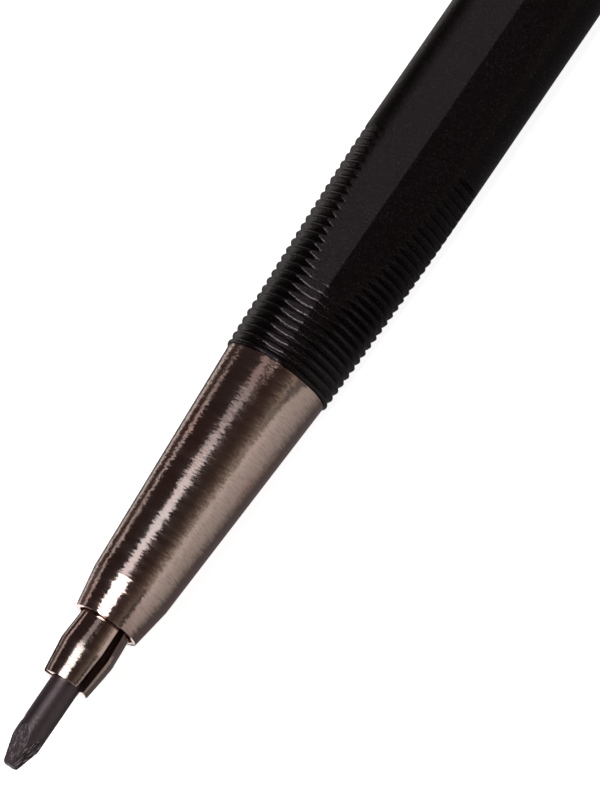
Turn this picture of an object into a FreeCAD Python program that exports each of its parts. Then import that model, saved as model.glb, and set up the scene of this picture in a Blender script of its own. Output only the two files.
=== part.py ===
import FreeCAD, Part
import math
import os

# Lead holder (clutch pencil) for 2 mm leads.
# Millimetres.  The long axis runs along X: writing tip towards -X, push
# button towards +X.  The holder lies on one flat of its three-sided barrel,
# so +Z is up and z = 0 is the surface it lies on.

V = FreeCAD.Vector

# ---------------------------------------------------------------- dimensions
LEAD_D = 2.0            # standard drafting lead
FLAT_A = 3.659          # distance from the axis to each flat of the barrel
LOBE_E = 2.2            # offset of each rounded corner's centre
LOBE_R = 2.245          # radius of each rounded corner
CREASE_R = FLAT_A / math.cos(math.radians(10))
CREASES = (-100.0, 20.0, 140.0)     # crease directions, from +Y towards +Z
LOBES = (-40.0, 80.0, 200.0)        # rounded corner directions
ZA = FLAT_A             # height of the axis over the resting flat

BARREL_X0, BARREL_X1 = -45.0, 45.0  # visible barrel
TAIL_X1, TAIL_R = 49.5, 3.30        # turned-down tail under the rear ferrule
BORE_R = 2.60
FRONT_SOCKET_R, FRONT_SOCKET_X = 3.10, -38.0
STEP_R, STEP_X = 2.45, -36.0
REAR_SOCKET_R, REAR_SOCKET_X = 2.85, 40.0

RIDGE_PITCH = 0.588     # turned finger grooves
RIDGE_COUNT = 28
CREST_R0, CREST_SLOPE = 3.712, 0.0435
ROOTS = [(0, 3.51), (5, 3.63), (8, 3.81), (10, 3.92), (12, 4.02),
         (13.5, 4.10), (15, 4.155), (16.5, 4.19)]

NOSE_X0, NOSE_R0 = -64.16, 2.23     # mouth of the nose
KINK_X, KINK_R = -61.40, 2.67
NOSE_BASE_R = 3.57
MOUTH_R = 1.88
THREAD_PITCH = 0.5

JAW_TIP_X, JAW_TIP_R = -68.65, 1.59
JAW_MAX_X, JAW_MAX_R = -66.23, 1.875
JAW_NECK_X, JAW_NECK_R = -64.20, 1.735
JAW_CONE_X, JAW_SHANK_R = -60.40, 1.42
JAW_ROOT_X = -52.5
JAW_SLOTS = (65.6, 185.6, 305.6)    # directions of the three slits
SLOT_W = 0.58
GRIP_R = 1.012

LEAD_TIP_X, LEAD_TIP_R = -74.80, 0.47
LEAD_SHOULDER_X = -72.60
LEAD_X1 = 35.2

PLUNGER_TRAVEL = 3.5


# ------------------------------------------------------------------- helpers
def rev(points):
    """Solid turned about the long axis from closed (x, r) points."""
    pts = [V(x, 0, ZA + r) for x, r in points]
    face = Part.Face(Part.makePolygon(pts + [pts[0]]))
    return face.revolve(V(0, 0, ZA), V(1, 0, 0), 360)


def ring(x0, x1, r_in, r_out):
    return rev([(x0, r_in), (x1, r_in), (x1, r_out), (x0, r_out)])


def rod(x0, x1, r):
    return rev([(x0, 0), (x1, 0), (x1, r), (x0, r)])


def polar(x, r, deg):
    a = math.radians(deg)
    return V(x, r * math.cos(a), ZA + r * math.sin(a))


def section(x0, x1, inset=0.0):
    """Prism of the rounded three-sided barrel section."""
    a, rc = FLAT_A - inset, LOBE_R - inset
    cr = a / math.cos(math.radians(10))
    edges = []
    for k in range(3):
        crease, lobe, nxt = CREASES[k], CREASES[k] + 60.0, CREASES[k] + 120.0

        def on_lobe(normal):
            c, n = math.radians(lobe), math.radians(normal)
            return V(x0, LOBE_E * math.cos(c) + rc * math.cos(n),
                     ZA + LOBE_E * math.sin(c) + rc * math.sin(n))

        p, q0, qm, q1, r = (polar(x0, cr, crease), on_lobe(crease + 10),
                            on_lobe(lobe), on_lobe(nxt - 10), polar(x0, cr, nxt))
        edges += [Part.makeLine(p, q0), Part.Arc(q0, qm, q1).toShape(), Part.makeLine(q1, r)]
    return Part.Face(Part.Wire(edges)).extrude(V(x1 - x0, 0, 0))


def root_r(d):
    for (d0, r0), (d1, r1) in zip(ROOTS, ROOTS[1:]):
        if d <= d1:
            return r0 + (r1 - r0) * (d - d0) / (d1 - d0)
    return ROOTS[-1][1]


def block(x0, x1, half_w, r0, r1, deg):
    """Radial block: x0..x1, 2*half_w wide, from radius r0 to r1 at angle deg."""
    b = Part.makeBox(x1 - x0, 2 * half_w, r1 - r0, V(x0, -half_w, r0))
    b.rotate(V(0, 0, 0), V(1, 0, 0), deg - 90.0)
    b.translate(V(0, 0, ZA))
    return b


def wedge(x0, x1, r, deg0, deg1):
    """Sector of a disc between two directions."""
    n = 8
    pts = [V(x0, 0, ZA)]
    pts += [polar(x0, r, deg0 + (deg1 - deg0) * i / n) for i in range(n + 1)]
    return Part.Face(Part.makePolygon(pts + [pts[0]])).extrude(V(x1 - x0, 0, 0))


parts = {}

# -------------------------------------------------------------------- barrel
prof = [(BARREL_X0, 0.0)]
for i in range(RIDGE_COUNT):
    d = i * RIDGE_PITCH
    crest, root = CREST_R0 + CREST_SLOPE * d, root_r(d + RIDGE_PITCH / 2)
    prof += [(BARREL_X0 + d, crest), (BARREL_X0 + d + 0.24, crest + 0.01),
             (BARREL_X0 + d + 0.36, min(root, crest)), (BARREL_X0 + d + 0.47, min(root, crest))]
d = RIDGE_COUNT * RIDGE_PITCH
prof += [(BARREL_X0 + d, CREST_R0 + CREST_SLOPE * d), (BARREL_X0 + d + 2.2, 4.60),
         (BARREL_X1 - 0.35, 4.60), (BARREL_X1, 4.25), (BARREL_X1, 0.0)]
barrel = section(BARREL_X0, BARREL_X1).common(rev(prof))
barrel = barrel.fuse(rod(BARREL_X1 - 3, TAIL_X1, TAIL_R))
barrel = barrel.cut(rev([
    (BARREL_X0 - 1, 0), (TAIL_X1 + 1, 0), (TAIL_X1 + 1, REAR_SOCKET_R),
    (REAR_SOCKET_X, REAR_SOCKET_R), (REAR_SOCKET_X, BORE_R), (STEP_X, BORE_R),
    (STEP_X, STEP_R), (FRONT_SOCKET_X, STEP_R), (FRONT_SOCKET_X, FRONT_SOCKET_R),
    (BARREL_X0 - 1, FRONT_SOCKET_R)]))
parts["barrel"] = barrel

# Threaded sleeve pressed into the barrel's mouth; the nose screws into it.
prof = [(BARREL_X0 + 0.05, 3.10), (BARREL_X0 + 0.05, 2.80)]
x = BARREL_X0 + 0.6
while x < -39.6:
    prof += [(x, 2.73), (x + 0.25, 2.84), (x + 0.5, 2.73)]
    x += THREAD_PITCH + 0.001
prof += [(FRONT_SOCKET_X, 2.73), (FRONT_SOCKET_X, 3.10)]
parts["front_insert"] = rev(prof)

# ----------------------------------------------------------------- nose cone
prof = [(NOSE_X0, MOUTH_R + 0.10), (NOSE_X0, NOSE_R0 - 0.10), (NOSE_X0 + 0.10, NOSE_R0 + 0.01),
        (KINK_X, KINK_R), (BARREL_X0 - 0.02, NOSE_BASE_R), (BARREL_X0 - 0.02, 2.68)]
x = BARREL_X0 + 0.6
while x < -39.9:
    prof += [(x, 2.68), (x + 0.25, 2.56), (x + 0.5, 2.68)]
    x += THREAD_PITCH + 0.001
prof += [(-39.2, 2.68), (-39.0, 2.55), (-39.0, 2.35), (-58.0, 2.35), (-61.2, 2.02),
         (-63.6, 2.02), (-63.6, MOUTH_R), (NOSE_X0 + 0.10, MOUTH_R)]
parts["nose_cone"] = rev(prof)

# Hardened closing bush seated behind the mouth; its taper shuts the jaws.
def jaw_outer(x):
    if x < JAW_NECK_X:
        return JAW_MAX_R + (JAW_NECK_R - JAW_MAX_R) * (x - JAW_MAX_X) / (JAW_NECK_X - JAW_MAX_X)
    t = min(1.0, (x - JAW_NECK_X) / (JAW_CONE_X - JAW_NECK_X))
    return JAW_NECK_R + (JAW_SHANK_R - JAW_NECK_R) * t

parts["closing_bush"] = rev([(-63.6, jaw_outer(-63.6) + 0.02), (-61.9, jaw_outer(-61.9) + 0.02),
                             (-61.9, 2.0), (-63.6, 2.0)])

# ---------------------------------------------------------------- collet jaws
prof = [(JAW_TIP_X + 0.08, GRIP_R), (JAW_TIP_X, GRIP_R + 0.08), (JAW_TIP_X, JAW_TIP_R - 0.06),
        (JAW_TIP_X + 0.06, JAW_TIP_R), (JAW_MAX_X - 0.12, JAW_MAX_R - 0.01),
        (JAW_MAX_X + 0.12, JAW_MAX_R - 0.008), (JAW_NECK_X, JAW_NECK_R),
        (JAW_CONE_X, JAW_SHANK_R), (JAW_ROOT_X, JAW_SHANK_R), (JAW_ROOT_X, 1.15),
        (-65.2, 1.15), (-65.4, GRIP_R)]
collet = rev(prof)
for s in JAW_SLOTS:
    collet = collet.cut(block(JAW_TIP_X - 1, JAW_ROOT_X + 1, SLOT_W / 2, 0.0, 4.0, s))
for name, s in zip("abc", JAW_SLOTS):
    parts["collet_jaw_" + name] = collet.common(wedge(JAW_TIP_X - 1, JAW_ROOT_X + 1, 4.0, s, s + 120.0))

# ------------------------------------------------------------ plunger (moves)
GAP = 0.05
parts["collet_sleeve"] = rev([(JAW_ROOT_X + GAP, 1.15), (-44.0, 1.15), (-44.0, 1.75), (-49.0, 1.75),
                              (-49.0, 2.20), (-49.1, 2.27), (-50.9, 2.27), (-51.0, 2.20),
                              (-51.0, 1.60), (JAW_ROOT_X + GAP, JAW_SHANK_R)])
parts["coupling_nut"] = rev([(-46.5, 1.75), (-44.0, 1.75), (-44.0, 1.45), (-40.0, 1.45),
                             (-40.0, 2.0), (-40.2, 2.15), (-46.3, 2.15), (-46.5, 2.0)])
parts["lead_tube"] = ring(-44.0, 42.0, 1.15, 1.45)
parts["spring_collar"] = rev([(-8.0, 1.45), (-5.0, 1.45), (-5.0, 2.40), (-5.1, 2.50),
                              (-7.9, 2.50), (-8.0, 2.40)])
c_ring = ring(-5.0, -4.3, 1.45, 2.10)
parts["retaining_ring"] = c_ring.cut(block(-6, -3, 0.5, 1.0, 4.0, 90.0))
parts["button_socket"] = rev([(36.0, 1.45), (42.0, 1.45), (42.0, 1.75), (50.0, 1.75), (50.0, 2.30),
                              (36.2, 2.30), (36.0, 2.15)])

# Return spring: round wire coil between the spring seat and the collar.
WIRE_R, COIL_R = 0.20, 2.02
helix = Part.makeHelix(2.32, 23.2, COIL_R)
helix.rotate(V(0, 0, 0), V(0, 1, 0), 90)
helix.translate(V(-31.6, 0, ZA))
start = helix.Edges[0].valueAt(helix.Edges[0].FirstParameter)
tangent = helix.Edges[0].tangentAt(helix.Edges[0].FirstParameter)
circle = Part.Wire(Part.makeCircle(WIRE_R, start, tangent))
parts["return_spring"] = Part.Wire(helix.Edges).makePipeShell([circle], True, True)

# ------------------------------------------------------- fixed inner bushes
parts["spring_seat"] = ring(-36.0, -32.0, 1.52, 2.60)
parts["rear_bush"] = rev([(40.0, 2.36), (49.5, 2.36), (49.5, 2.85), (40.0, 2.85)])

# --------------------------------------------------------------- rear ferrule
ferrule = section(45.0, 51.0, 0.04).common(rev([(45.0, 0), (45.0, 4.3), (45.15, 4.5), (50.4, 4.5),
                                                (51.0, 3.9), (51.0, 0)]))
ferrule = ferrule.cut(rev([(44.0, 0), (52.0, 0), (52.0, 2.45), (49.5, 2.45), (49.5, TAIL_R),
                           (44.0, TAIL_R)]))
# slot for the clip's foot, over the upper rounded corner
CLIP_DEG = LOBES[1]
ferrule = ferrule.cut(block(46.4, 47.6, 1.7, 3.45, 6.0, CLIP_DEG))
parts["rear_ferrule"] = ferrule

# ----------------------------------------------------------------------- clip
# Flat spring strip: foot in the ferrule's slot, bend, long arm, turned-up toe.
CLIP_T = 0.55
arm_r = LOBE_E + LOBE_R + 0.95       # underside of the arm, radial height at lobe
pts = [(46.5, 3.60), (47.3, 3.60), (47.3, arm_r + CLIP_T - 0.45), (46.85, arm_r + CLIP_T),
       (18.2, arm_r + CLIP_T - 0.30), (16.4, arm_r + CLIP_T - 0.80),
       (14.9, arm_r + CLIP_T - 0.80), (13.2, arm_r + CLIP_T + 0.10),
       (12.9, arm_r - 0.32 + CLIP_T), (14.7, arm_r - 0.80), (16.6, arm_r - 0.80),
       (18.4, arm_r - 0.30), (46.15, arm_r), (46.5, arm_r - 0.30)]
face = Part.Face(Part.makePolygon([V(px, -1.6, pr) for px, pr in pts + [pts[0]]]))
clip = face.extrude(V(0, 3.2, 0))
# narrow towards the toe
for side in (-1, 1):
    cutter = Part.Face(Part.makePolygon([V(40, side * 1.6, 0), V(11, side * 1.25, 0), V(11, side * 3, 0),
                                         V(40, side * 3, 0), V(40, side * 1.6, 0)])).extrude(V(0, 0, 12))
    clip = clip.cut(cutter)
clip.rotate(V(0, 0, 0), V(1, 0, 0), CLIP_DEG - 90.0)
clip.translate(V(0, 0, ZA))
parts["clip"] = clip

# --------------------------------------------------------------- push button
button = rev([(43.0, 1.10), (50.05, 1.10), (54.0, 1.10), (54.0, 0.0), (58.0, 0.0), (58.0, 2.20),
              (63.8, 2.20), (63.8, 2.95), (63.55, 3.10), (55.5, 3.10), (55.2, 2.85), (55.2, 2.30),
              (50.05, 2.30), (50.05, 1.72), (46.0, 1.72), (46.0, 1.45), (45.0, 1.45),
              (45.0, 1.72), (43.2, 1.72), (43.0, 1.55)])
for i in range(24):                  # fine axial flutes around the head
    button = button.cut(block(56.6, 62.6, 0.13, 2.98, 4.0, i * 15.0))
parts["push_button"] = button
snap = ring(45.05, 45.95, 1.46, 1.735)
parts["button_snap_ring"] = snap.cut(block(44, 47, 0.35, 1.0, 4.0, 0.0))

# Lead pointer inside the button: body with a conical mouth and a thin blade.
pointer = rev([(58.0, 0.0), (58.0, 2.15), (63.4, 2.15), (63.4, 1.45), (59.2, 0.30), (59.2, 0.0)])
slot = block(59.0, 63.0, 0.16, 0.55, 1.95, 45.0)
parts["pointer_body"] = pointer.cut(slot)
blade = block(59.1, 62.9, 0.12, 1.30, 1.90, 45.0)
parts["pointer_blade"] = blade

# ----------------------------------------------------------------------- lead
R = LEAD_D / 2
parts["lead"] = rev([(LEAD_TIP_X, 0), (LEAD_TIP_X, LEAD_TIP_R - 0.08), (LEAD_TIP_X + 0.10, LEAD_TIP_R),
                     (LEAD_SHOULDER_X, R), (LEAD_X1 - 0.2, R), (LEAD_X1, R - 0.2), (LEAD_X1, 0)])

# --------------------------------------------------------------------- output
os.makedirs("parts", exist_ok=True)
for name, shape in parts.items():
    if hasattr(shape, "removeSplitter") and name not in ("return_spring",):
        shape = shape.removeSplitter()
    shape.exportStep("parts/" + name + ".step")
    bb = shape.BoundBox
    print(f"{name:18s} {shape.ShapeType:9s} solids {len(shape.Solids)} valid {shape.isValid()} "
          f"vol {shape.Volume:9.3f}  x {bb.XMin:.2f}..{bb.XMax:.2f}  z {bb.ZMin:.3f}..{bb.ZMax:.3f}")
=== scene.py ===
import math
import numpy as np
import bpy
from mathutils import Vector, Matrix


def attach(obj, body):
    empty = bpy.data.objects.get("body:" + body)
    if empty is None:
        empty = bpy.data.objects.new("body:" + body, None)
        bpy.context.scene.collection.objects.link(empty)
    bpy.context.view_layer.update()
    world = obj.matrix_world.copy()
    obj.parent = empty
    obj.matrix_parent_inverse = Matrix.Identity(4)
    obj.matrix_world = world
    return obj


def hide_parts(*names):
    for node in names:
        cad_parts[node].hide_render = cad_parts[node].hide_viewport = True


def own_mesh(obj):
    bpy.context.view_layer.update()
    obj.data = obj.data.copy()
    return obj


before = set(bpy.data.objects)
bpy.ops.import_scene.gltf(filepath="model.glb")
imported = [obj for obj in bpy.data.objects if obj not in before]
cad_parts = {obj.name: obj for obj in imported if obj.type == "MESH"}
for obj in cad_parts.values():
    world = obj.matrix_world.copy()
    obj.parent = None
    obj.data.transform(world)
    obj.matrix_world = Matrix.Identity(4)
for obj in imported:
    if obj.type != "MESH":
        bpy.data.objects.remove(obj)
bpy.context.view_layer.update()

MM = 0.001
ZA = 3.659                      # height of the long axis over the floor, mm
FLAT_A, LOBE_E, LOBE_R = 3.659, 2.2, 2.245
CREASES = (-100.0, 20.0, 140.0)
LOBES = (-40.0, 80.0, 200.0)
VIEW_PHI = 147.6                # direction round the axis that the camera looks from


# ------------------------------------------------------------------ mesh tools
def add_mesh(name, verts, faces, body, mats, slot=None, nodes=(), sharp=40.0, face_mat=None):
    me = bpy.data.meshes.new(name)
    me.from_pydata((np.asarray(verts) * MM).tolist(), [], faces)
    me.validate()
    me.polygons.foreach_set("use_smooth", [True] * len(me.polygons))
    if sharp:
        me.set_sharp_from_angle(angle=math.radians(sharp))
    for m in mats:
        me.materials.append(m)
    if face_mat is not None:
        me.polygons.foreach_set("material_index", face_mat)
    me.update()
    ob = bpy.data.objects.new(name, me)
    bpy.context.scene.collection.objects.link(ob)
    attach(ob, body)
    if nodes:
        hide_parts(*nodes)
    return ob


def polar_mesh(xs, rs, phis, loop=False):
    """xs: S stations (or S x N), rs: S x N radii, phis: N angles (rad). loop joins last station to first."""
    rs = np.asarray(rs, float)
    S, N = rs.shape
    xs = np.asarray(xs, float)
    if xs.ndim == 1:
        xs = np.repeat(xs[:, None], N, 1)
    ph = np.asarray(phis)[None, :]
    v = np.stack([xs, rs * np.cos(ph), ZA + rs * np.sin(ph)], -1).reshape(-1, 3)
    verts = v.tolist()
    faces = []
    for i in range(S if loop else S - 1):
        a, b = i * N, ((i + 1) % S) * N
        for j in range(N):
            k = (j + 1) % N
            faces.append((a + j, a + k, b + k, b + j))
    if not loop:
        for i, flip in ((0, True), (S - 1, False)):
            c = len(verts)
            verts.append([float(xs[i].mean()), 0.0, ZA])
            for j in range(N):
                k = (j + 1) % N
                q = (i * N + j, i * N + k, c)
                faces.append(q[::-1] if flip else q)
    return verts, faces


def round_poly(pts, radii, seg=4, closed=True):
    """(x, r) polygon with rounded corners. radii: one number or one per point (0 keeps it sharp)."""
    n = len(pts)
    if not hasattr(radii, "__len__"):
        radii = [radii] * n
    out = []
    for i, p in enumerate(pts):
        p = np.array(p, float)
        if (not closed and i in (0, n - 1)) or radii[i] <= 0:
            out.append(tuple(p)); continue
        a, b = np.array(pts[i - 1], float) - p, np.array(pts[(i + 1) % n], float) - p
        la, lb = np.linalg.norm(a), np.linalg.norm(b)
        if la < 1e-9 or lb < 1e-9:
            out.append(tuple(p)); continue
        a, b = a / la, b / lb
        cosg = float(np.clip(a @ b, -1, 1))
        g = math.acos(cosg)
        if g > math.radians(178):
            out.append(tuple(p)); continue
        t = min(radii[i] / math.tan(g / 2), la * 0.45, lb * 0.45)
        r = t * math.tan(g / 2)
        c = p + (a + b) / np.linalg.norm(a + b) * (r / math.sin(g / 2))
        s, e = p + a * t - c, p + b * t - c
        a0, a1 = math.atan2(s[1], s[0]), math.atan2(e[1], e[0])
        d = (a1 - a0 + math.pi) % (2 * math.pi) - math.pi
        for k in range(seg + 1):
            w = a0 + d * k / seg
            out.append((c[0] + r * math.cos(w), c[1] + r * math.sin(w)))
    return out


def lathe(name, pts, radii, body, mats, n=192, seg=4, loop=True, **kw):
    prof = round_poly(pts, radii, seg, closed=loop)
    phis = np.linspace(0, 2 * math.pi, n, endpoint=False)
    rs = np.array([[p[1]] * n for p in prof])
    v, f = polar_mesh([p[0] for p in prof], rs, phis, loop)
    return add_mesh(name, v, f, body, mats, **kw)


def smin(a, b, k):
    """Smooth minimum: rounds the edge where two surfaces cross, over a depth k."""
    h = np.clip(0.5 + 0.5 * (b - a) / k, 0, 1)
    return b * (1 - h) + a * h - k * h * (1 - h)


def section_radius(phi_deg, inset=0.0, k=0.012):
    """Radius of the rounded three-sided section in each direction."""
    a, rc = FLAT_A - inset, LOBE_R - inset
    out = np.full(phi_deg.shape, 99.0)
    for c in CREASES:
        for n in (c - 10, c + 10):
            w = np.cos(np.radians(phi_deg - n))
            r = np.where(w > 0.3, a / np.maximum(w, 0.3), 99.0)
            out = np.where(np.minimum(out, r) < 50, smin(out, r, k) if out.min() < 50 else np.minimum(out, r), out)
    for c in LOBES:
        d = np.radians((phi_deg - c + 180) % 360 - 180)
        q = rc ** 2 - (LOBE_E * np.sin(d)) ** 2
        arc = np.where(np.abs(d) < math.radians(25.3), LOBE_E * np.cos(d) + np.sqrt(np.maximum(q, 0)), 99.0)
        out = np.minimum(out, arc)
    return out


def section_phis(n=480):
    base = list(np.linspace(0, 360, n, endpoint=False))
    for c in CREASES:
        base += [(c + d) % 360 for d in np.linspace(-2.4, 2.4, 17)]
    for c in LOBES:
        base += [(c + s * 25.3) % 360 for s in (-1, 1)]
    base = sorted(set(round(b, 4) for b in base))
    out = [base[0]]
    for b in base[1:]:
        if b - out[-1] > 0.12:
            out.append(b)
    return np.array(out)


# ------------------------------------------------------------------- materials
class Mat:
    """A small helper that builds one node material."""

    def __init__(self, name):
        self.m = bpy.data.materials.new(name)
        self.m.use_nodes = True
        self.t = self.m.node_tree
        self.b = self.t.nodes["Principled BSDF"]
        self.co = self.t.nodes.new("ShaderNodeTexCoord")

    def set(self, **kw):
        for k, v in kw.items():
            s = self.b.inputs[k.replace("_", " ")]
            s.default_value = v
        return self

    def link(self, a, b):
        self.t.links.new(a, b)

    def scaled(self, sx, sy, sz, rot=(0, 0, 0)):
        m = self.t.nodes.new("ShaderNodeMapping")
        m.inputs["Scale"].default_value = (sx, sy, sz)
        m.inputs["Rotation"].default_value = rot
        self.link(self.co.outputs["Object"], m.inputs["Vector"])
        return m.outputs["Vector"]

    def noise(self, vec, scale=1.0, detail=3.0, rough=0.5, distortion=0.0):
        n = self.t.nodes.new("ShaderNodeTexNoise")
        n.inputs["Scale"].default_value = scale
        n.inputs["Detail"].default_value = detail
        n.inputs["Roughness"].default_value = rough
        n.inputs["Distortion"].default_value = distortion
        self.link(vec, n.inputs["Vector"])
        return n.outputs["Fac"]

    def ramp(self, fac, stops):
        r = self.t.nodes.new("ShaderNodeValToRGB")
        while len(r.color_ramp.elements) < len(stops):
            r.color_ramp.elements.new(0.5)
        for e, (p, c) in zip(r.color_ramp.elements, stops):
            e.position = p
            e.color = (*c, 1) if hasattr(c, "__len__") else (c, c, c, 1)
        self.link(fac, r.inputs["Fac"])
        return r.outputs["Color"]

    def math(self, op, a, b=None):
        n = self.t.nodes.new("ShaderNodeMath")
        n.operation = op
        for i, x in enumerate((a, b)):
            if x is None:
                continue
            if hasattr(x, "links"):
                self.link(x, n.inputs[i])
            else:
                n.inputs[i].default_value = x
        return n.outputs[0]

    def bump(self, height, strength, dist_mm, normal=None):
        n = self.t.nodes.new("ShaderNodeBump")
        n.inputs["Strength"].default_value = strength
        n.inputs["Distance"].default_value = dist_mm * MM
        self.link(height, n.inputs["Height"])
        if normal is not None:
            self.link(normal, n.inputs["Normal"])
        return n.outputs["Normal"]

    def pointiness(self, lo, hi):
        g = self.t.nodes.new("ShaderNodeNewGeometry")
        return self.ramp(g.outputs["Pointiness"], [(lo, 0.0), (hi, 1.0)])

    def out(self, **kw):
        for k, s in kw.items():
            self.link(s, self.b.inputs[k.replace("_", " ")])
        return self.m


def black_barrel():
    """Satin black coat: fine grain that glints, a few brighter specks, faint cloudiness."""
    m = Mat("barrel_black").set(Metallic=0.0, IOR=1.5, Specular_IOR_Level=0.25, Specular_Tint=(1.0, 0.80, 0.84, 1.0))
    grain = m.noise(m.scaled(7000, 7000, 7000), 1.0, 3.0, 0.7)
    speck = m.noise(m.scaled(9500, 9500, 9500), 1.0, 1.0, 0.5)
    cloud = m.noise(m.scaled(420, 700, 700), 1.0, 3.0, 0.55)
    col = m.ramp(speck, [(0.30, (0.0006, 0.0004, 0.0005)), (0.64, (0.0012, 0.0009, 0.0010)), (0.72, (0.010, 0.0082, 0.0088)), (0.80, (0.022, 0.018, 0.019))])
    rough = m.math("ADD", m.math("MULTIPLY", m.math("SUBTRACT", grain, 0.5), 0.30), m.math("MULTIPLY", cloud, 0.08))
    rough = m.math("ADD", rough, 0.19)
    nrm = m.bump(grain, 0.9, 0.032)
    return m.out(Base_Color=col, Roughness=rough, Normal=nrm)


def turned_metal(name, tint, rough0=0.13, tilt=1.0, jag=1.0):
    """Turned and polished dark nickel: fine lathe lines, a faint colour drift and small pits."""
    m = Mat(name).set(Metallic=1.0)
    lines = m.noise(m.scaled(8000, 1700 * jag, 1700 * jag), 1.0, 3.0, 0.72)
    waves = m.noise(m.scaled(2100, 380, 380), 1.0, 2.0, 0.6)
    pits = m.noise(m.scaled(9500, 9500, 9500), 1.0, 2.0, 0.55)
    drift = m.noise(m.scaled(150, 420, 420), 1.0, 3.0, 0.55)
    r, g, b = tint
    col = m.ramp(drift, [(0.34, (r * 1.03, g * 0.93, b * 0.90)), (0.5, (r, g, b)), (0.66, (r * 0.97, g * 1.0, b * 0.93))])
    shade = m.ramp(lines, [(0.32, (0.90, 0.89, 0.88)), (0.52, (1, 1, 1))])
    mix = m.t.nodes.new("ShaderNodeMix")
    mix.data_type, mix.blend_type = "RGBA", "MULTIPLY"
    mix.inputs["Factor"].default_value = 1.0
    m.link(col, mix.inputs["A"]); m.link(shade, mix.inputs["B"])
    rough = m.math("ADD", m.math("MULTIPLY", m.math("SUBTRACT", waves, 0.5), 0.22), rough0)
    rough = m.math("ADD", rough, m.math("MULTIPLY", m.math("SUBTRACT", drift, 0.5), 0.06))
    # each line leans a little to one side or the other, which frays the highlights
    geo = m.t.nodes.new("ShaderNodeNewGeometry")
    round_dir = m.t.nodes.new("ShaderNodeVectorMath"); round_dir.operation = "CROSS_PRODUCT"
    m.link(geo.outputs["Normal"], round_dir.inputs[0]); round_dir.inputs[1].default_value = (1, 0, 0)
    lean = m.t.nodes.new("ShaderNodeVectorMath"); lean.operation = "SCALE"
    m.link(round_dir.outputs[0], lean.inputs[0])
    m.link(m.math("MULTIPLY", m.math("SUBTRACT", lines, 0.5), 0.42 * tilt), lean.inputs["Scale"])
    add = m.t.nodes.new("ShaderNodeVectorMath"); add.operation = "ADD"
    m.link(geo.outputs["Normal"], add.inputs[0]); m.link(lean.outputs[0], add.inputs[1])
    unit = m.t.nodes.new("ShaderNodeVectorMath"); unit.operation = "NORMALIZE"
    m.link(add.outputs[0], unit.inputs[0])
    h = m.math("ADD", m.math("MULTIPLY", waves, 0.8), m.math("MULTIPLY", pits, 0.35))
    nrm = m.bump(h, 1.0, 0.009, unit.outputs[0])
    return m.out(Base_Color=mix.outputs["Result"], Roughness=rough, Normal=nrm)


def plain_metal(name, tint, rough0=0.28):
    m = Mat(name).set(Metallic=1.0)
    rings = m.noise(m.scaled(9000, 500, 500), 1.0, 3.0, 0.65)
    drift = m.noise(m.scaled(500, 900, 900), 1.0, 3.0, 0.6)
    r, g, b = tint
    col = m.ramp(drift, [(0.3, (r * 0.86, g * 0.84, b * 0.80)), (0.7, (r, g, b))])
    rough = m.math("ADD", m.math("MULTIPLY", rings, 0.2), rough0 - 0.1)
    return m.out(Base_Color=col, Roughness=rough, Normal=m.bump(rings, 0.3, 0.006))


def graphite(name, worn):
    m = Mat(name).set(Metallic=0.0, IOR=1.5, Specular_IOR_Level=0.42 if worn else 0.8, Specular_Tint=(1.0, 0.80, 0.83, 1.0))
    grain = m.noise(m.scaled(9500, 9500, 9500), 1.0, 3.0, 0.6)
    if worn:
        scr = m.noise(m.scaled(1500, 7600, 7600, (0.0, 0.12, 0.10)), 1.0, 5.0, 0.78, 0.4)
        col = m.ramp(scr, [(0.42, (0.003, 0.0019, 0.0021)), (0.53, (0.009, 0.0060, 0.0066)), (0.58, (0.13, 0.100, 0.106)), (0.66, (0.42, 0.36, 0.37))])
        rough = m.ramp(scr, [(0.35, 0.50), (0.7, 0.26)])
        nrm = m.bump(scr, 1.0, 0.060)
    else:
        rings = m.noise(m.scaled(8200, 1500, 1500), 1.0, 3.0, 0.7)
        col = m.ramp(rings, [(0.3, (0.007, 0.0040, 0.0045)), (0.7, (0.019, 0.0110, 0.0122))])
        rough = m.math("ADD", m.math("MULTIPLY", grain, 0.24), 0.28)
        nrm = m.bump(m.math("ADD", rings, m.math("MULTIPLY", grain, 0.7)), 0.9, 0.020)
    return m.out(Base_Color=col, Roughness=rough, Normal=nrm)


def moulded(name, tint):
    m = Mat(name).set(IOR=1.5)
    g = m.noise(m.scaled(12000, 12000, 12000), 1.0, 3.0, 0.6)
    r_, g_, b_ = tint
    col = m.ramp(g, [(0.3, (r_ * 0.7, g_ * 0.7, b_ * 0.7)), (0.7, tint)])
    return m.out(Base_Color=col, Roughness=m.math("ADD", m.math("MULTIPLY", g, 0.3), 0.3), Normal=m.bump(g, 0.3, 0.01))


M_BLACK = black_barrel()
M_NOSE = turned_metal("gunmetal", (0.44, 0.335, 0.300), 0.15)
M_COLLET = turned_metal("collet_metal", (0.46, 0.352, 0.316), 0.13, 0.6, 1.3)
M_REAR = turned_metal("gunmetal_rear", (0.44, 0.335, 0.300), 0.17, 0.8)
M_CLIP = turned_metal("gunmetal_clip", (0.44, 0.335, 0.300), 0.18, 0.35, 6.0)
M_INNER = plain_metal("inner_steel", (0.60, 0.60, 0.62))
M_BRASS = plain_metal("brass", (0.78, 0.60, 0.30), 0.26)
M_SPRING = plain_metal("spring_steel", (0.50, 0.50, 0.52), 0.24)
M_LEAD = graphite("graphite", False)
M_POINT = graphite("graphite_worn", True)
M_PLASTIC = moulded("pointer_plastic", (0.03, 0.03, 0.033))

# ---------------------------------------------------------------------- barrel
PITCH, COUNT = 0.588, 28
CREST0, SLOPE = 3.712, 0.0435
ROOTS = np.array([(0, 3.51), (5, 3.63), (8, 3.81), (10, 3.92), (12, 4.02), (13.5, 4.10), (15, 4.155), (16.5, 4.19)])


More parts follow.
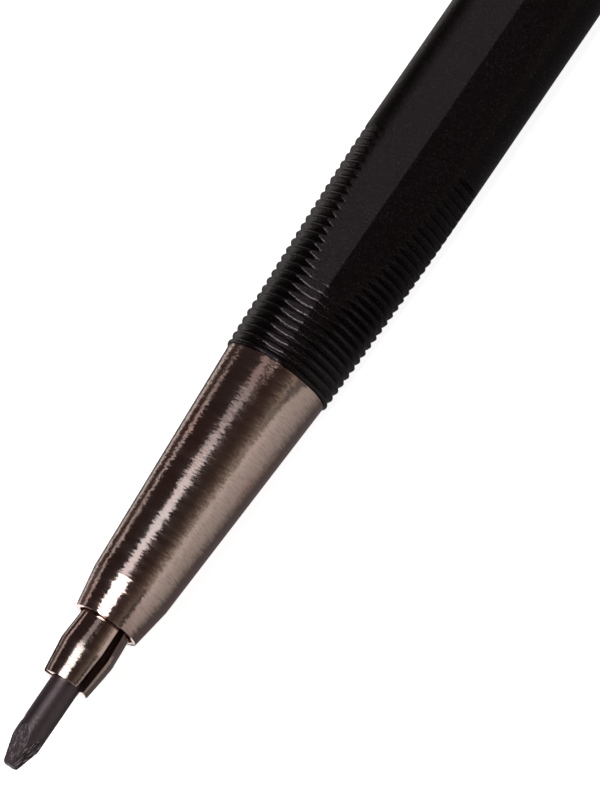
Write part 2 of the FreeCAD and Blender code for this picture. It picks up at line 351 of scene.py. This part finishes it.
def build_barrel():
    ph = section_phis()
    sec = section_radius(ph)
    zone = PITCH * COUNT
    xs, rs = [], []
    # front face and small front round
    xs += [0.0, 0.03]; rs += [smin(sec, np.full(ph.shape, CREST0 - 0.10), 0.05), smin(sec, np.full(ph.shape, CREST0 - 0.03), 0.05)]
    steps = np.array([0.0, 0.05, 0.10, 0.16, 0.22, 0.28, 0.33, 0.38, 0.43, 0.48, 0.53]) / 0.588
    for i in range(COUNT):
        for u in steps:
            d = (i + u) * PITCH
            if d < 0.06:
                continue
            crest = CREST0 + SLOPE * d
            root = np.interp(d, ROOTS[:, 0], ROOTS[:, 1])
            depth = max(crest - root, 0.0)
            # rounded crest, tighter rounded groove at the end of each pitch
            w = (math.cos(2 * math.pi * (u - 0.22)) * 0.5 + 0.5) ** 0.75
            ring = crest - depth * (1 - w)
            xs.append(d); rs.append(smin(sec, np.full(ph.shape, ring), 0.05))
    for d in np.arange(zone, zone + 2.4, 0.2):
        xs.append(d); rs.append(smin(sec, np.full(ph.shape, CREST0 + SLOPE * zone + 0.10 * (d - zone)), 0.05))
    L = 90.0
    for d in list(np.arange(zone + 3.0, L - 1.0, 2.0)) + [L - 0.7, L - 0.35]:
        xs.append(d); rs.append(sec.copy())
    for k in range(1, 6):
        a = k / 5 * math.pi / 2
        xs.append(L - 0.18 + 0.18 * math.sin(a)); rs.append(sec - 0.18 * (1 - math.cos(a)))
    xs = [x - 45.0 for x in xs]
    one = np.ones(ph.shape)
    for x, r in ((45.0, 3.32), (45.0, 3.28), (49.45, 3.28), (49.48, 3.2), (49.48, 2.9), (49.45, 2.87), (40.0, 2.87),
                 (40.0, 2.62), (-35.98, 2.62), (-36.0, 2.60), (-36.0, 2.47), (-38.0, 2.47), (-38.0, 3.12),
                 (-44.95, 3.12), (-45.0, 3.2)):
        xs.append(x); rs.append(one * r)
    v, f = polar_mesh(xs, rs, np.radians(ph), loop=True)
    return add_mesh("barrel_shell", v, f, "barrel", [M_BLACK], slot="barrel_black", nodes=("barrel",), sharp=50)


build_barrel()

# -------------------------------------------------------------------- nose cone
lathe("nose_cone_shell", [
    (-64.16, 1.90), (-64.16, 2.225), (-61.40, 2.672), (-45.03, 3.572), (-45.03, 2.70), (-39.05, 2.66),
    (-39.05, 2.37), (-58.0, 2.37), (-61.15, 2.03), (-63.6, 2.03), (-63.6, 1.90)],
    [0.05, 0.05, 0.05, 0.05, 0.0, 0.05, 0.03, 0.2, 0.1, 0.02, 0.02],
    "barrel", [M_NOSE], n=256, slot="gunmetal", nodes=("nose_cone",), sharp=30)


# ------------------------------------------------------------------ collet jaws
def build_jaw(letter, slit):
    C = 0.035
    tip, mx, neck, cone, root = -68.65, -66.23, -64.20, -60.40, -52.5
    st = []      # x, r_in, r_out, side inset
    st += [(tip, 1.085, 1.50, 0.05), (tip + 0.012, 1.05, 1.545, 0.02), (tip + 0.05, 1.020, 1.582, 0.0), (tip + 0.10, 1.014, 1.596, 0.0)]
    def outer(x):
        if x < mx: return 1.59 + (1.875 - 1.59) * (x - tip) / (mx - tip)
        if x < neck: return 1.875 + (1.735 - 1.875) * (x - mx) / (neck - mx)
        if x < cone: return 1.735 + (1.42 - 1.735) * (x - neck) / (cone - neck)
        return 1.42
    for x in list(np.linspace(tip + 0.3, mx - 0.14, 8)):
        st.append((x, 1.014, outer(x), 0.0))
    st += [(mx - 0.05, 1.014, outer(mx) - 0.010, 0.0), (mx, 1.014, outer(mx) - 0.007, 0.0), (mx + 0.05, 1.014, outer(mx) - 0.008, 0.0)]
    for x in list(np.linspace(mx + 0.14, -65.42, 3)):
        st.append((x, 1.014, outer(x), 0.0))
    for x in list(np.linspace(-65.2, neck, 4)) + list(np.linspace(neck + 0.3, cone, 10)) + [-58.0, -55.0, root]:
        st.append((x, 1.15, outer(x), 0.0))
    n_o, n_i = 36, 22
    verts, faces = [], []
    for x, ri, ro, ins in st:
        w = np.interp(x, [-66.5, -63.5], [0.315, 0.225]) + ins
        s0, s1 = math.radians(slit), math.radians(slit + 120)
        ring = []
        def side(sgn, base, r):
            return base + sgn * math.asin(w / r)
        # outer arc between chamfers
        c0, c1 = side(1, s0, ro) + C / ro, side(-1, s1, ro) - C / ro
        ring += [(ro, a) for a in np.linspace(c0, c1, n_o)]
        ring += [(ro - C, side(-1, s1, ro - C)), ((ro + ri) / 2, side(-1, s1, (ro + ri) / 2)), (ri + C * 0.6, side(-1, s1, ri + C * 0.6))]
        i1, i0 = side(-1, s1, ri) - C * 0.6 / ri, side(1, s0, ri) + C * 0.6 / ri
        ring += [(ri, a) for a in np.linspace(i1, i0, n_i)]
        ring += [(ri + C * 0.6, side(1, s0, ri + C * 0.6)), ((ro + ri) / 2, side(1, s0, (ro + ri) / 2)), (ro - C, side(1, s0, ro - C))]
        verts += [[x, r * math.cos(a), ZA + r * math.sin(a)] for r, a in ring]
    N = n_o + n_i + 6
    for i in range(len(st) - 1):
        for j in range(N):
            k = (j + 1) % N
            faces.append((i * N + j, i * N + k, (i + 1) * N + k, (i + 1) * N + j))
    # end faces, one polygon round the outer and the inner arcs at each end
    def cap(base, flip):
        o = [base + j for j in range(n_o)]
        si = [base + n_o + j for j in range(3)]
        inn = [base + n_o + 3 + j for j in range(n_i)][::-1]
        so = [base + n_o + 3 + n_i + j for j in range(3)][::-1]     # so[0] is near the outer arc
        so_line = [base + N - 1, base + N - 2, base + N - 3]
        start = so_line + []
        left = [o[0]] + so_line + [inn[0]]
        right = [o[-1]] + si + [inn[-1]]
        fs = [tuple(o + si + inn[::-1] + so_line[::-1])]
        return [f[::-1] if flip else f for f in fs]
    faces += cap(0, True) + cap((len(st) - 1) * N, False)
    ob = add_mesh("collet_jaw_" + letter + "_shell", verts, faces, "jaw_" + letter, [M_COLLET],
                  slot="collet_metal", nodes=("collet_jaw_" + letter,), sharp=25)
    return ob


for letter, slit in zip("abc", (65.6, 185.6, 305.6)):
    build_jaw(letter, slit)


# ------------------------------------------------------------------------- lead
def build_lead():
    n = 160
    ph = np.linspace(0, 2 * math.pi, n, endpoint=False)
    th = (np.degrees(ph) - VIEW_PHI + 180) % 360 - 180
    rng = np.random.RandomState(7)
    facets = [(-34, -72.15, 0.40), (48, -72.62, 0.46), (112, -72.70, 0.47), (-104, -72.55, 0.43), (175, -72.60, 0.42)]
    end = -74.80
    xs = list(end + np.array([0.0, 0.02, 0.05, 0.09])) + list(np.linspace(end + 0.14, -72.0, 56)) + \
        [-71.95, -71.9, -71.8, -71.5] + list(np.linspace(-71.0, -60, 10)) + [-20.0, 20.0, 34.9, 35.1, 35.18, 35.2]
    waves = [(rng.uniform(5, 26), rng.uniform(3, 12), rng.uniform(0, 6.28)) for _ in range(14)]
    rows = []
    for x in xs:
        r = np.full(n, 0.999)
        for az, x0, r_end in facets:
            w = np.cos(np.radians(th - az))
            ap = 1.0 + (r_end - 1.0) * (x0 - x) / (x0 - end)
            lim = np.where(w > 0.12, ap / np.maximum(w, 0.12), 9.0)
            r = smin(r, lim, 0.012)
        if x < -72.0:
            depth = min(1.0, (-72.0 - x) / 0.5)
            cut = np.clip((0.999 - r) / 0.05, 0, 1)
            rough = sum(np.sin(a * x + b * ph + c) for a, b, c in [(w0, round(w1), w2) for w0, w1, w2 in waves]) / 14
            r = r - (0.020 * (rough + 0.5) * cut * depth)
        if -72.2 < x < -71.4:       # a small nick at the shoulder
            r = r - 0.045 * np.exp(-((th + 86) / 16) ** 2) * math.exp(-((x + 71.86) / 0.14) ** 2)
        d = x - end
        if d < 0.09:
            r = r - 0.055 * (1 - math.sqrt(max(0.0, 1 - (1 - d / 0.09) ** 2)))
        if x > 34.9:
            r = r - 0.16 * (x - 34.9) / 0.3
        rows.append(r)
    v, f = polar_mesh(xs, rows, ph, loop=False)
    fm = []
    S = len(xs)
    for i in range(S - 1):
        for j in range(n):
            xm = (xs[i] + xs[i + 1]) / 2
            rr = min(rows[i][j], rows[i + 1][j])
            fm.append(1 if (xm < -71.9 and rr < 0.985) else 0)
    fm += [1] * n + [0] * n
    return add_mesh("lead_stick", v, f, "lead", [M_LEAD, M_POINT], slot="graphite", nodes=("lead",), sharp=24, face_mat=fm)


build_lead()


# ----------------------------------------------------------------- rear ferrule
def build_ferrule():
    ph = section_phis(360)
    sec = section_radius(ph, 0.04)
    xs, rs = [], []
    for k in range(5):
        a = k / 4 * math.pi / 2
        xs.append(45.05 + 0.10 * (1 - math.sin(a))); rs.append(sec - 0.10 * (1 - math.cos(a)))
    xs, rs = xs[::-1], rs[::-1]
    xs = [45.05 + 0.10 * (1 - math.cos(k / 4 * math.pi / 2)) for k in range(5)]
    rs = [sec - 0.10 * (1 - math.sin(k / 4 * math.pi / 2)) for k in range(5)]
    xs += [45.9, 45.96, 46.02]; rs += [sec, sec - 0.05, sec - 0.05]
    xs += [46.08, 46.14]; rs += [sec - 0.05, sec]
    xs += [47.0, 48.0, 49.0, 50.3]; rs += [sec] * 4
    for k in range(1, 9):
        a = k / 8 * math.pi / 2
        xs.append(50.3 + 0.68 * math.sin(a)); rs.append(sec - 0.55 * (1 - math.cos(a)))
    one = np.ones(ph.shape)
    for x, r in ((50.98, 2.62), (50.95, 2.52), (50.88, 2.47), (49.52, 2.47), (49.52, 3.31), (45.05, 3.31)):
        xs.append(x); rs.append(one * r)
    v, f = polar_mesh(xs, rs, np.radians(ph), loop=True)
    ob = add_mesh("rear_ferrule_shell", v, f, "barrel", [M_REAR], slot="gunmetal", nodes=("rear_ferrule",), sharp=30)
    # slot for the clip's foot
    c = bpy.data.meshes.new("slot_cut")
    pts = [(x, y, z) for x in (46.42, 47.58) for y in (-1.68, 1.68) for z in (3.46, 6.0)]
    a = math.radians(80.0 - 90.0)
    rot = lambda p: (p[0], p[1] * math.cos(a) - p[2] * math.sin(a), ZA + p[1] * math.sin(a) + p[2] * math.cos(a))
    c.from_pydata([tuple(q * MM for q in rot(p)) for p in pts], [], [(0, 1, 3, 2), (4, 6, 7, 5), (0, 4, 5, 1), (2, 3, 7, 6), (0, 2, 6, 4), (1, 5, 7, 3)])
    co = bpy.data.objects.new("slot_cut", c)
    bpy.context.scene.collection.objects.link(co)
    md = ob.modifiers.new("slot", "BOOLEAN")
    md.operation, md.object, md.solver = "DIFFERENCE", co, "EXACT"
    dg = bpy.context.evaluated_depsgraph_get()
    new = bpy.data.meshes.new_from_object(ob.evaluated_get(dg))
    ob.modifiers.clear()
    old = ob.data
    ob.data = new
    bpy.data.objects.remove(co)
    new.polygons.foreach_set("use_smooth", [True] * len(new.polygons))
    new.set_sharp_from_angle(angle=math.radians(30))
    return ob


build_ferrule()


# ------------------------------------------------------------------------- clip
def build_clip():
    arm = LOBE_E + LOBE_R + 0.95
    T = 0.55
    # middle line of the strip, (x, radial height)
    line = [(46.95, 3.62), (46.95, arm + 0.02), (46.3, arm + T / 2), (30.0, arm + T / 2 - 0.05), (19.0, arm + T / 2 - 0.20),
            (16.6, arm - 0.52), (14.9, arm - 0.52), (13.15, arm + 0.02)]
    line = round_poly(line, [0, 0.5, 0.5, 8, 3, 1.6, 1.6, 0], 8, closed=False)
    line = np.array(line)
    keep = [0]
    for i in range(1, len(line)):
        if np.linalg.norm(line[i] - line[keep[-1]]) > 0.03:
            keep.append(i)
    line = line[keep]
    tan = np.gradient(line, axis=0)
    tan /= np.linalg.norm(tan, axis=1)[:, None]
    nor = np.stack([-tan[:, 1], tan[:, 0]], 1)
    length = np.concatenate([[0], np.cumsum(np.linalg.norm(np.diff(line, axis=0), axis=1))])
    total = length[-1]
    verts, faces = [], []
    K = 8
    def ring(w, h, rad):
        pts = []
        for cx, cy, a0 in ((w - rad, h - rad, 0), (-w + rad, h - rad, 90), (-w + rad, -h + rad, 180), (w - rad, -h + rad, 270)):
            for k in range(K + 1):
                a = math.radians(a0 + 90 * k / K)
                pts.append((cx + rad * math.cos(a), cy + rad * math.sin(a)))
        return pts
    N = 4 * (K + 1)
    stations = []
    for i, (p, nn, s) in enumerate(zip(line, nor, length)):
        w = 1.56 - 0.30 * max(0.0, (40.0 - p[0]) / 27.0) if p[0] < 40 else 1.56
        rem = total - s
        if rem < 1.2:
            w *= math.sqrt(max(0.03, 1 - (1 - rem / 1.2) ** 2)) * 0.999 + 0.001
        h = T / 2 - 0.01
        if rem < 0.10:
            h *= 0.72
        stations.append((p, nn, w, h))
    for p, nn, w, h in stations:
        rad = min(0.13, h * 0.8, w * 0.8)
        for cy, ch in ring(w, h, rad):
            # slight crown across the outside of the strip
            crown = 0.05 * (1 - (cy / max(w, 0.2)) ** 2) if ch * nn[1] > 0 and abs(nn[1]) > 0.5 else 0.0
            q = p + nn * (ch + math.copysign(crown, ch) * (0.6 if ch * nn[1] > 0 else 0))
            verts.append([q[0], cy, q[1]])
    S = len(stations)
    for i in range(S - 1):
        for j in range(N):
            k = (j + 1) % N
            faces.append((i * N + j, (i + 1) * N + j, (i + 1) * N + k, i * N + k))
    faces.append(tuple(range(N)))
    faces.append(tuple((S - 1) * N + j for j in range(N))[::-1])
    a = math.radians(80.0 - 90.0)
    vv = [[x, y * math.cos(a) - r * math.sin(a), ZA + y * math.sin(a) + r * math.cos(a)] for x, y, r in verts]
    ob = add_mesh("clip_strip", vv, faces, "clip", [M_CLIP], slot="gunmetal", nodes=("clip",), sharp=35)
    bm_fix(ob)
    return ob


def bm_fix(ob):
    """Outward normals on a closed mesh."""
    import bmesh
    bm = bmesh.new()
    bm.from_mesh(ob.data)
    bmesh.ops.recalc_face_normals(bm, faces=bm.faces)
    bm.to_mesh(ob.data)
    bm.free()


build_clip()


# ------------------------------------------------------------------ push button
def build_button():
    n = 384
    ph = np.linspace(0, 2 * math.pi, n, endpoint=False)
    flute = (0.5 + 0.5 * np.cos(24 * ph)) ** 4
    prof = [(43.0, 1.12), (43.0, 1.56), (43.2, 1.70), (45.0, 1.70), (45.0, 1.46), (46.0, 1.46), (46.0, 1.70), (50.05, 1.70),
            (50.05, 2.28), (55.2, 2.28), (55.2, 2.86), (55.5, 3.08)]
    prof = round_poly(prof, [0.03, 0.05, 0.03, 0.02, 0.02, 0.02, 0.02, 0.03, 0.05, 0.12, 0.08, 0.12], 4, closed=False)
    xs = [p[0] for p in prof]; rs = [np.full(n, p[1]) for p in prof]
    xs += [55.7, 55.85, 55.90, 55.98, 56.06, 56.12, 56.3]
    rs += [np.full(n, r) for r in (3.085, 3.085, 3.03, 3.01, 3.03, 3.085, 3.085)]
    for x in list(np.linspace(56.5, 57.1, 8)) + [59.0, 61.0] + list(np.linspace(62.1, 62.7, 8)):
        e = min(max((x - 56.5) / 0.45, 0), 1) * min(max((62.7 - x) / 0.45, 0), 1)
        e = math.sqrt(max(0.0, 1 - (1 - e) ** 2))
        xs.append(x); rs.append(3.085 - 0.13 * flute * e)
    xs += [63.0, 63.2]; rs += [np.full(n, 3.085)] * 2
    for k in range(1, 8):
        a = k / 7 * math.pi / 2
        xs.append(63.2 + 0.58 * math.sin(a)); rs.append(np.full(n, 3.085 - 0.42 * (1 - math.cos(a))))
    for x, r in ((63.78, 2.45), (63.76, 2.35), (63.70, 2.26), (63.6, 2.22), (58.0, 2.22), (58.0, 0.02), (54.02, 0.02), (54.0, 1.08), (53.9, 1.12)):
        xs.append(x); rs.append(np.full(n, r))
    v, f = polar_mesh(xs, rs, ph, loop=True)
    ob = add_mesh("push_button_shell", v, f, "button", [M_REAR], slot="gunmetal", nodes=("push_button",), sharp=32)
    bm_fix(ob)
    return ob


build_button()

# pointer body: conical mouth with a lead-in round; no slot is cut for its blade
ptr = lathe("pointer_body_shell", [(58.02, 0.05), (58.02, 2.14), (63.42, 2.14), (63.42, 1.46), (59.2, 0.30), (59.2, 0.05)],
            [0, 0.06, 0.10, 0.12, 0.0, 0.0], "button", [M_PLASTIC], n=128, slot="pointer_plastic", nodes=("pointer_body",), sharp=30)

# ---------------------------------------------------------------- return spring
def build_spring():
    """Round-wire coil between the fixed seat and the moving collar."""
    turns, per, m = 10, 40, 14
    r_coil, r_wire, x0, pitch = 2.02, 0.198, -31.6, 2.32
    lead_angle = math.atan2(pitch, 2 * math.pi * r_coil)
    verts, faces = [], []
    n = turns * per + 1
    for i in range(n):
        a = 2 * math.pi * i / per
        phi = a - math.pi / 2
        radial = Vector((0, math.cos(phi), math.sin(phi)))
        round_dir = Vector((0, -math.sin(phi), math.cos(phi)))
        tangent = round_dir * math.cos(lead_angle) + Vector((1, 0, 0)) * math.sin(lead_angle)
        side = tangent.cross(radial)
        c = Vector((x0 + pitch * i / per, 0, ZA)) + radial * r_coil
        r = r_wire * (0.86 if i in (0, n - 1) else 1.0)
        for j in range(m):
            b = 2 * math.pi * j / m
            verts.append(list(c + radial * (r * math.cos(b)) + side * (r * math.sin(b))))
    for i in range(n - 1):
        for j in range(m):
            k = (j + 1) % m
            faces.append((i * m + j, i * m + k, (i + 1) * m + k, (i + 1) * m + j))
    faces.append(tuple(range(m))[::-1])
    faces.append(tuple((n - 1) * m + j for j in range(m)))
    ob = add_mesh("return_spring_coil", verts, faces, "plunger", [M_SPRING], slot="spring_steel", nodes=("return_spring",), sharp=40)
    bm_fix(ob)
    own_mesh(ob)
    return ob


build_spring()

# ------------------------------------------------- CAD pieces that stay as they are
for node, mat in {"front_insert": M_BRASS, "closing_bush": M_INNER, "spring_seat": M_BRASS, "rear_bush": M_PLASTIC,
                  "collet_sleeve": M_COLLET, "coupling_nut": M_BRASS, "lead_tube": M_INNER,
                  "spring_collar": M_BRASS, "retaining_ring": M_SPRING, "button_socket": M_BRASS,
                  "button_snap_ring": M_SPRING, "pointer_blade": M_INNER}.items():
    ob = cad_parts[node]
    ob.data.materials.clear()
    ob.data.materials.append(mat)


# ----------------------------------------------------------------------- stage
def emit(name, color, strength):
    m = bpy.data.materials.new(name)
    m.use_nodes = True
    t = m.node_tree
    t.nodes.clear()
    e = t.nodes.new("ShaderNodeEmission")
    e.inputs["Color"].default_value = (*color, 1)
    e.inputs["Strength"].default_value = strength
    o = t.nodes.new("ShaderNodeOutputMaterial")
    t.links.new(e.outputs[0], o.inputs["Surface"])
    return m


def plane(name, x0, x1, y0, y1, z, mat, hidden=False):
    me = bpy.data.meshes.new(name)
    me.from_pydata([(x0, y0, z), (x1, y0, z), (x1, y1, z), (x0, y1, z)], [], [(0, 1, 2, 3)])
    me.materials.append(mat)
    ob = bpy.data.objects.new(name, me)
    bpy.context.scene.collection.objects.link(ob)
    if hidden:
        ob.visible_camera = ob.visible_diffuse = ob.visible_shadow = False
        ob.visible_transmission = ob.visible_volume_scatter = False
    return ob


fm = bpy.data.materials.new("floor_white")
fm.use_nodes = True
fb = fm.node_tree.nodes["Principled BSDF"]
fb.inputs["Base Color"].default_value = (0.9, 0.9, 0.9, 1)
fb.inputs["Roughness"].default_value = 0.9
fb.inputs["Specular IOR Level"].default_value = 0.0
fb.inputs["Emission Color"].default_value = (1, 1, 1, 1)
fb.inputs["Emission Strength"].default_value = 0.93
plane("floor", -4, 4, -4, 4, -0.00002, fm)

def card_ramp(name, color, stops):
    """Emission that changes across the floor: stops of (y in mm, strength)."""
    m = emit(name, color, 1.0)
    t = m.node_tree
    g = t.nodes.new("ShaderNodeNewGeometry")
    sep = t.nodes.new("ShaderNodeSeparateXYZ")
    t.links.new(g.outputs["Position"], sep.inputs[0])
    mr = t.nodes.new("ShaderNodeMapRange")
    y0, y1 = stops[0][0] * MM, stops[-1][0] * MM
    mr.inputs["From Min"].default_value, mr.inputs["From Max"].default_value = y0, y1
    t.links.new(sep.outputs["Y"], mr.inputs["Value"])
    r = t.nodes.new("ShaderNodeValToRGB")
    while len(r.color_ramp.elements) < len(stops):
        r.color_ramp.elements.new(0.5)
    for e, (y, v) in zip(r.color_ramp.elements, stops):
        e.position = (y * MM - y0) / (y1 - y0)
        e.color = (v, v, v, 1)
    t.links.new(mr.outputs["Result"], r.inputs["Fac"])
    t.links.new(r.outputs["Color"], next(n for n in t.nodes if n.type == "EMISSION").inputs["Strength"])
    return m


# glowing cards lying on the floor, seen only in reflections, where they stand in for the floor: their glow drops close
# beside the pen as painted shade of the pen (the low ends of the ramps), and card_dark and card_edge are dim sheets of
# painted shade under the pen
CARD_Z = 0.00001
# strength falls towards y = -2.9 mm next to the pen: painted shade of the pen on the floor, seen in reflections
NEAR = [(-40, 0.34), (-19, 0.95), (-10, 0.72), (-6, 0.60), (-4.6, 0.50), (-3.6, 0.30), (-2.9, 0.15)]
WARM = (1.0, 0.97, 0.95)
plane("card_near", -0.0649, -0.0430, -0.040, -0.0029, CARD_Z, card_ramp("card_near", WARM, NEAR), True)
plane("card_near_rear", 0.0510, 0.4, -0.040, -0.0029, CARD_Z, card_ramp("card_near_rear", WARM, NEAR), True)
plane("card_barrel", -0.0430, 0.0510, -0.040, -0.0029, CARD_Z,
      card_ramp("card_barrel", WARM, [(-40, 0.06), (-19, 0.20), (-5, 0.16), (-2.9, 0.10)]), True)
plane("card_far", -0.0649, 0.6, -0.9, -0.040, CARD_Z, emit("card_far", (1.0, 0.90, 0.76), 0.42), True)
# card_dark: dim sheet from under the pen outwards, painted shade of the pen seen in reflections
plane("card_dark", -0.0649, 0.6, -0.0029, 0.9, CARD_Z, emit("card_dark", (1.0, 0.90, 0.92), 0.14), True)
plane("card_front", -0.6, -0.0649, -0.040, -0.0021, CARD_Z,
      card_ramp("card_front", WARM, [(-40, 0.04), (-24, 0.10), (-16, 0.62), (-8, 0.55), (-2.1, 0.42)]), True)
plane("card_front_far", -0.6, -0.0649, -0.9, -0.040, CARD_Z, emit("card_front_far", (1.0, 0.80, 0.72), 0.045), True)
# card_edge: dim strip under the tip, painted shade seen in reflections
for tag, x0, x1, y1 in (("a", -0.6, -0.0662, 0.0024), ("b", -0.0662, -0.0649, 0.0011)):
    plane("card_edge_" + tag, x0, x1, -0.0021, y1, CARD_Z, emit("card_edge_" + tag, (1.0, 0.95, 0.95), 0.14), True)
    plane("card_rim_" + tag, x0, x1, y1, 0.9, CARD_Z, emit("card_rim_" + tag, (1.0, 0.93, 0.94), 1.7), True)
plane("card_tip", -0.0850, -0.0757, 0.0024, 0.012, CARD_Z + 0.000003, emit("card_tip", (1.0, 0.93, 0.94), 0.35), True)


def area(name, phi, dist, across, x0, x1, radiance, color=(1, 1, 1), spread=180):
    """Long softbox facing the axis from direction phi round it, spanning x0..x1 (m)."""
    a = math.radians(phi)
    d = Vector((0, math.cos(a), math.sin(a)))
    l = bpy.data.lights.new(name, "AREA")
    l.shape = "RECTANGLE"
    l.size, l.size_y = abs(x1 - x0), across
    l.energy = radiance * math.pi * l.size * l.size_y
    l.color = color
    l.spread = math.radians(spread)
    ob = bpy.data.objects.new(name, l)
    bpy.context.scene.collection.objects.link(ob)
    z = d
    x = Vector((1, 0, 0))
    y = z.cross(x)
    ob.matrix_world = Matrix.Translation(Vector(((x0 + x1) / 2, 0, ZA * MM)) + d * dist) @ Matrix((x, y, z)).transposed().to_4x4()
    return ob


XJ = -0.045
area("key", 115.6, 0.45, 0.265, XJ - 0.36, XJ - 0.047, 6.0, (0.97, 1.0, 1.03))
area("key_low", 112.0, 0.45, 0.175, XJ - 0.047, XJ + 0.092, 1.62, (0.90, 1.0, 1.08))
area("key_tail", 112.5, 0.45, 0.14, XJ + 0.092, XJ + 0.34, 0.42, (1.0, 0.97, 1.0))
area("edge_strip", 41.0, 0.45, 0.072, XJ - 0.10, XJ + 0.120, 0.85, (1.0, 0.93, 0.95))
area("back_fill", 20.0, 0.60, 0.30, XJ - 0.2, XJ + 0.05, 0.08, (1.0, 0.93, 0.95))
glint = area("glint", 114.0, 0.45, 0.20, XJ - 0.36, XJ - 0.17, 24.0, (1.0, 0.98, 1.0))
glint.visible_diffuse = False
crease = area("crease_line", 131.5, 0.45, 0.045, XJ + 0.165, XJ + 0.40, 3.0)
crease.visible_diffuse = False

# fills for the rear half and the far side
for fill in (area("rear_top", 95.0, 0.13, 0.11, 0.024, 0.12, 0.85, (1.0, 0.97, 0.96)),
             area("rear_near", 178.0, 0.13, 0.07, 0.030, 0.12, 0.45, (1.0, 0.97, 0.96)),
             area("rear_far", 14.0, 0.13, 0.07, 0.030, 0.12, 0.60, (1.0, 0.97, 0.96)),
             area("back_soft", 3.0, 0.45, 0.13, -0.25, 0.25, 0.75, (1.0, 0.96, 0.96))):
    fill.visible_camera = False
    fill.visible_diffuse = False

w = bpy.data.worlds.new("studio")
bpy.context.scene.world = w
w.use_nodes = True
wt = w.node_tree
tc = wt.nodes.new("ShaderNodeTexCoord")
sp = wt.nodes.new("ShaderNodeSeparateXYZ")
wt.links.new(tc.outputs["Generated"], sp.inputs[0])
wr = wt.nodes.new("ShaderNodeValToRGB")
while len(wr.color_ramp.elements) < 5:
    wr.color_ramp.elements.new(0.5)
for e, (p, c) in zip(wr.color_ramp.elements, [(0.0, (0.26, 0.235, 0.20)), (0.16, (0.155, 0.125, 0.105)), (0.34, (0.075, 0.050, 0.044)),
                                              (0.55, (0.046, 0.030, 0.028)), (1.0, (0.040, 0.028, 0.027))]):
    e.position = p
    e.color = (*c, 1)
wt.links.new(sp.outputs["Z"], wr.inputs["Fac"])
wt.links.new(wr.outputs["Color"], wt.nodes["Background"].inputs["Color"])
wt.nodes["Background"].inputs["Strength"].default_value = 1.0

# ---------------------------------------------------------------------- camera
F_PX = 6740.0
PX_PER_MM = 16.0
TILT = math.radians(13.0)
phi = math.radians(VIEW_PHI)
nrm = Vector((0, math.cos(phi), math.sin(phi)))
v = (nrm * math.cos(TILT) + Vector((-1, 0, 0)) * math.sin(TILT)).normalized()
a = Vector((1, 0, 0)) - v * v.x
a.normalize()
b = v.cross(a)
ALPHA = math.atan2(0.82551149, 0.56438531)
right = a * math.cos(ALPHA) - b * math.sin(ALPHA)
up = a * math.sin(ALPHA) + b * math.cos(ALPHA)
D = F_PX / PX_PER_MM * MM
joint = Vector((XJ, 0, ZA * MM))
px, py = 276.17, 376.44
cam_pos = joint + v * D - right * ((px - 300.0) / F_PX * D) + up * ((py - 400.0) / F_PX * D)
cam = bpy.data.cameras.new("camera")
cam.sensor_width = 36.0
cam.lens = F_PX / 800.0 * 36.0
cam.clip_start, cam.clip_end = 0.01, 10.0
co = bpy.data.objects.new("camera", cam)
bpy.context.scene.collection.objects.link(co)
co.matrix_world = Matrix.Translation(cam_pos) @ Matrix((right, up, v)).transposed().to_4x4()
bpy.context.scene.camera = co
bpy.context.scene.view_settings.view_transform = "Standard"
bpy.context.scene.view_settings.look = "None"
